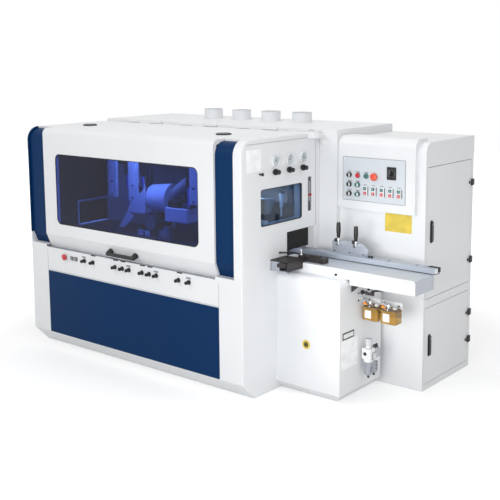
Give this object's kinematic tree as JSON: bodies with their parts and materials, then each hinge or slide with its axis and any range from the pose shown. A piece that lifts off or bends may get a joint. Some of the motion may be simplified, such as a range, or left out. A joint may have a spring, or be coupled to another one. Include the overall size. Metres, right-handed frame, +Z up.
{
  "type": "four sided moulder",
  "caption": "Enclosed floor machine that planes all faces of a timber in one pass: lift-up hood with a tinted window, infeed table with fence, control console and electrical cabinet.",
  "frame": {"origin": "middle of the footprint, on the floor", "axes": "+X along the feed line towards the infeed end, +Y from the operator's front to the back, +Z up"},
  "size_m": [3.095, 1.61, 1.775],
  "materials": {
    "white_paint": "powder coated, satin",
    "blue_paint": "powder coated, satin",
    "tinted_window": "blue tinted polycarbonate",
    "clear_window": "pale blue polycarbonate",
    "ground_steel": "ground and polished",
    "cutter_steel": "turned",
    "cast_iron": "planed",
    "black_casting": "painted black",
    "motor_paint": "painted blue grey",
    "black_plastic": "moulded, matt",
    "red_plastic": "moulded, glossy",
    "green_plastic": "moulded, glossy",
    "amber_plastic": "clear moulded reservoir with oil in it",
    "cast_aluminium": "die cast",
    "gauge_face": "printed dial behind a clear lens"
  },
  "bodies": {
    "machine": {"base_cabinet": "white_paint", "blue_panels": "blue_paint", "infeed_end_plate": "white_paint", "enclosure_frame": "white_paint", "rear_housing": "white_paint", "dust_spouts": "white_paint", "end_window": "clear_window", "infeed_pedestal": "white_paint", "electrical_cabinet": "white_paint", "control_console": "white_paint", "infeed_table": "ground_steel", "infeed_fence": "ground_steel", "lubricators": "amber_plastic", "air_unit": "cast_aluminium", "gauges": "gauge_face", "machine_bed": "cast_iron", "spindle_motors": "motor_paint", "strip_adjusters": "black_plastic"},
    "hood": {"hood": "white_paint", "hood_window": "tinted_window", "hood_handle": "black_plastic"},
    "upper_door": {"upper_door": "white_paint"},
    "lower_door": {"lower_door": "white_paint"},
    "upper_latch": {"upper_latch": "black_plastic"},
    "lower_latch": {"lower_latch": "black_plastic"},
    "clamp_lever_1": {"clamp_lever_1": "black_plastic"},
    "clamp_lever_2": {"clamp_lever_2": "black_plastic"},
    "air_unit_knob": {"air_unit_knob": "black_plastic"},
    "regulator_knob_1": {"regulator_knob_1": "black_plastic"},
    "regulator_knob_2": {"regulator_knob_2": "black_plastic"},
    "regulator_knob_3": {"regulator_knob_3": "black_plastic"},
    "air_valve_knob": {"air_valve_knob": "black_plastic"},
    "side_guide": {"side_guide": "black_casting"},
    "feed_beam": {"feed_beam": "motor_paint"},
    "bottom_spindle": {"bottom_spindle": "cutter_steel"},
    "right_spindle": {"right_spindle": "cutter_steel"},
    "left_spindle": {"left_spindle": "cutter_steel"},
    "top_spindle": {"top_spindle": "cutter_steel"},
    "feed_roller_1": {"feed_roller_1": "cutter_steel"},
    "feed_roller_2": {"feed_roller_2": "cutter_steel"},
    "strip_estop": {"strip_estop": "red_plastic"},
    "console_estop": {"console_estop": "red_plastic"},
    "console_stop": {"console_stop": "red_plastic"},
    "console_start": {"console_start": "green_plastic"},
    "speed_dial": {"speed_dial": "black_plastic"},
    "selector_1": {"selector_1": "black_plastic"},
    "selector_2": {"selector_2": "black_plastic"},
    "selector_3": {"selector_3": "black_plastic"},
    "selector_4": {"selector_4": "green_plastic"},
    "selector_5": {"selector_5": "green_plastic"},
    "motor_start_1": {"motor_start_1": "green_plastic"},
    "motor_start_2": {"motor_start_2": "green_plastic"},
    "motor_start_3": {"motor_start_3": "green_plastic"},
    "motor_start_4": {"motor_start_4": "green_plastic"},
    "motor_start_5": {"motor_start_5": "green_plastic"},
    "motor_stop_1": {"motor_stop_1": "red_plastic"},
    "motor_stop_2": {"motor_stop_2": "red_plastic"},
    "motor_stop_3": {"motor_stop_3": "red_plastic"},
    "motor_stop_4": {"motor_stop_4": "red_plastic"},
    "motor_stop_5": {"motor_stop_5": "red_plastic"}
  },
  "joints": [
    {"name": "hood_lift", "type": "hinge", "parent": "machine", "child": "hood", "pos_m": [-0.515, 0.0285, 1.6895], "axis": [-1, 0, 0], "range_deg": [0, 70]},
    {"name": "upper_door_swing", "type": "hinge", "parent": "machine", "child": "upper_door", "pos_m": [1.3595, 0.7695, 1.0525], "axis": [0, 0, 1], "range_deg": [0, 110]},
    {"name": "lower_door_swing", "type": "hinge", "parent": "machine", "child": "lower_door", "pos_m": [1.3595, 0.7695, 0.3015], "axis": [0, 0, 1], "range_deg": [0, 110]},
    {"name": "upper_latch_turn", "type": "hinge", "parent": "upper_door", "child": "upper_latch", "pos_m": [1.3525, 0.212, 1.112], "axis": [1, 0, 0], "range_deg": [0, 90]},
    {"name": "lower_latch_turn", "type": "hinge", "parent": "lower_door", "child": "lower_latch", "pos_m": [1.3525, 0.212, 0.35], "axis": [1, 0, 0], "range_deg": [0, 90]},
    {"name": "clamp_lever_1_turn", "type": "hinge", "parent": "machine", "child": "clamp_lever_1", "pos_m": [0.8105, -0.036, 0.96], "axis": [0, 1, 0], "range_deg": [-40, 40]},
    {"name": "clamp_lever_2_turn", "type": "hinge", "parent": "machine", "child": "clamp_lever_2", "pos_m": [0.9465, -0.036, 0.96], "axis": [0, 1, 0], "range_deg": [-40, 40]},
    {"name": "air_unit_knob_turn", "type": "hinge", "parent": "machine", "child": "air_unit_knob", "pos_m": [1.1155, -0.154, 0.36], "axis": [0, 0, 1], "range_deg": [-360, 360]},
    {"name": "regulator_knob_1_turn", "type": "hinge", "parent": "machine", "child": "regulator_knob_1", "pos_m": [0.5625, -0.428, 1.46], "axis": [1, 0, 0], "range_deg": [-360, 360]},
    {"name": "regulator_knob_2_turn", "type": "hinge", "parent": "machine", "child": "regulator_knob_2", "pos_m": [0.5625, -0.278, 1.46], "axis": [1, 0, 0], "range_deg": [-360, 360]},
    {"name": "regulator_knob_3_turn", "type": "hinge", "parent": "machine", "child": "regulator_knob_3", "pos_m": [0.5625, -0.128, 1.46], "axis": [1, 0, 0], "range_deg": [-360, 360]},
    {"name": "air_valve_knob_turn", "type": "hinge", "parent": "machine", "child": "air_valve_knob", "pos_m": [0.5625, -0.581, 1.46], "axis": [1, 0, 0], "range_deg": [0, 90]},
    {"name": "side_guide_slide", "type": "slide", "parent": "machine", "child": "side_guide", "axis": [0, 1, 0], "range_m": [-0.02, 0.1]},
    {"name": "feed_beam_slide", "type": "slide", "parent": "machine", "child": "feed_beam", "axis": [0, 0, 1], "range_m": [-0.03, 0.08]},
    {"name": "bottom_spindle_spin", "type": "hinge", "parent": "machine", "child": "bottom_spindle", "pos_m": [0.1325, -0.1875, 0.8], "axis": [0, 1, 0], "continuous": true},
    {"name": "right_spindle_spin", "type": "hinge", "parent": "machine", "child": "right_spindle", "pos_m": [-0.2975, -0.035, 0.8], "axis": [0, 0, 1], "continuous": true},
    {"name": "left_spindle_spin", "type": "hinge", "parent": "machine", "child": "left_spindle", "pos_m": [-0.5075, -0.341, 0.8], "axis": [0, 0, 1], "continuous": true},
    {"name": "top_spindle_spin", "type": "hinge", "parent": "machine", "child": "top_spindle", "pos_m": [-0.7375, -0.1875, 0.965], "axis": [0, 1, 0], "continuous": true},
    {"name": "feed_roller_1_spin", "type": "hinge", "parent": "feed_beam", "child": "feed_roller_1", "pos_m": [0.2625, -0.1875, 0.975], "axis": [0, 1, 0], "continuous": true},
    {"name": "feed_roller_2_spin", "type": "hinge", "parent": "feed_beam", "child": "feed_roller_2", "pos_m": [-0.0775, -0.1875, 0.975], "axis": [0, 1, 0], "continuous": true},
    {"name": "strip_estop_push", "type": "slide", "parent": "machine", "child": "strip_estop", "axis": [0, 1, 0], "range_m": [0, 0.004]},
    {"name": "console_estop_push", "type": "slide", "parent": "machine", "child": "console_estop", "axis": [0, 1, 0], "range_m": [0, 0.004]},
    {"name": "console_stop_push", "type": "slide", "parent": "machine", "child": "console_stop", "axis": [0, 1, 0], "range_m": [0, 0.004], "stiffness_N_per_m": 600},
    {"name": "console_start_push", "type": "slide", "parent": "machine", "child": "console_start", "axis": [0, 1, 0], "range_m": [0, 0.004], "stiffness_N_per_m": 600},
    {"name": "speed_dial_turn", "type": "hinge", "parent": "machine", "child": "speed_dial", "pos_m": [1.1205, 0.096, 1.436], "axis": [0, -1, 0], "range_deg": [-135, 135]},
    {"name": "selector_1_turn", "type": "hinge", "parent": "machine", "child": "selector_1", "pos_m": [0.7975, 0.096, 1.405], "axis": [0, -1, 0], "range_deg": [-45, 45]},
    {"name": "selector_2_turn", "type": "hinge", "parent": "machine", "child": "selector_2", "pos_m": [0.7975, 0.096, 1.342], "axis": [0, -1, 0], "range_deg": [-45, 45]},
    {"name": "selector_3_turn", "type": "hinge", "parent": "machine", "child": "selector_3", "pos_m": [0.7975, 0.096, 1.279], "axis": [0, -1, 0], "range_deg": [-45, 45]},
    {"name": "selector_4_turn", "type": "hinge", "parent": "machine", "child": "selector_4", "pos_m": [0.8625, 0.096, 1.342], "axis": [0, -1, 0], "range_deg": [-45, 45]},
    {"name": "selector_5_turn", "type": "hinge", "parent": "machine", "child": "selector_5", "pos_m": [0.8625, 0.096, 1.279], "axis": [0, -1, 0], "range_deg": [-45, 45]},
    {"name": "motor_start_1_push", "type": "slide", "parent": "machine", "child": "motor_start_1", "axis": [0, 1, 0], "range_m": [0, 0.004], "stiffness_N_per_m": 600},
    {"name": "motor_start_2_push", "type": "slide", "parent": "machine", "child": "motor_start_2", "axis": [0, 1, 0], "range_m": [0, 0.004], "stiffness_N_per_m": 600},
    {"name": "motor_start_3_push", "type": "slide", "parent": "machine", "child": "motor_start_3", "axis": [0, 1, 0], "range_m": [0, 0.004], "stiffness_N_per_m": 600},
    {"name": "motor_start_4_push", "type": "slide", "parent": "machine", "child": "motor_start_4", "axis": [0, 1, 0], "range_m": [0, 0.004], "stiffness_N_per_m": 600},
    {"name": "motor_start_5_push", "type": "slide", "parent": "machine", "child": "motor_start_5", "axis": [0, 1, 0], "range_m": [0, 0.004], "stiffness_N_per_m": 600},
    {"name": "motor_stop_1_push", "type": "slide", "parent": "machine", "child": "motor_stop_1", "axis": [0, 1, 0], "range_m": [0, 0.004], "stiffness_N_per_m": 600},
    {"name": "motor_stop_2_push", "type": "slide", "parent": "machine", "child": "motor_stop_2", "axis": [0, 1, 0], "range_m": [0, 0.004], "stiffness_N_per_m": 600},
    {"name": "motor_stop_3_push", "type": "slide", "parent": "machine", "child": "motor_stop_3", "axis": [0, 1, 0], "range_m": [0, 0.004], "stiffness_N_per_m": 600},
    {"name": "motor_stop_4_push", "type": "slide", "parent": "machine", "child": "motor_stop_4", "axis": [0, 1, 0], "range_m": [0, 0.004], "stiffness_N_per_m": 600},
    {"name": "motor_stop_5_push", "type": "slide", "parent": "machine", "child": "motor_stop_5", "axis": [0, 1, 0], "range_m": [0, 0.004], "stiffness_N_per_m": 600}
  ],
  "couplings": [
    {"joint": "feed_roller_2_spin", "follows": "feed_roller_1_spin", "ratio": 1}
  ]
}
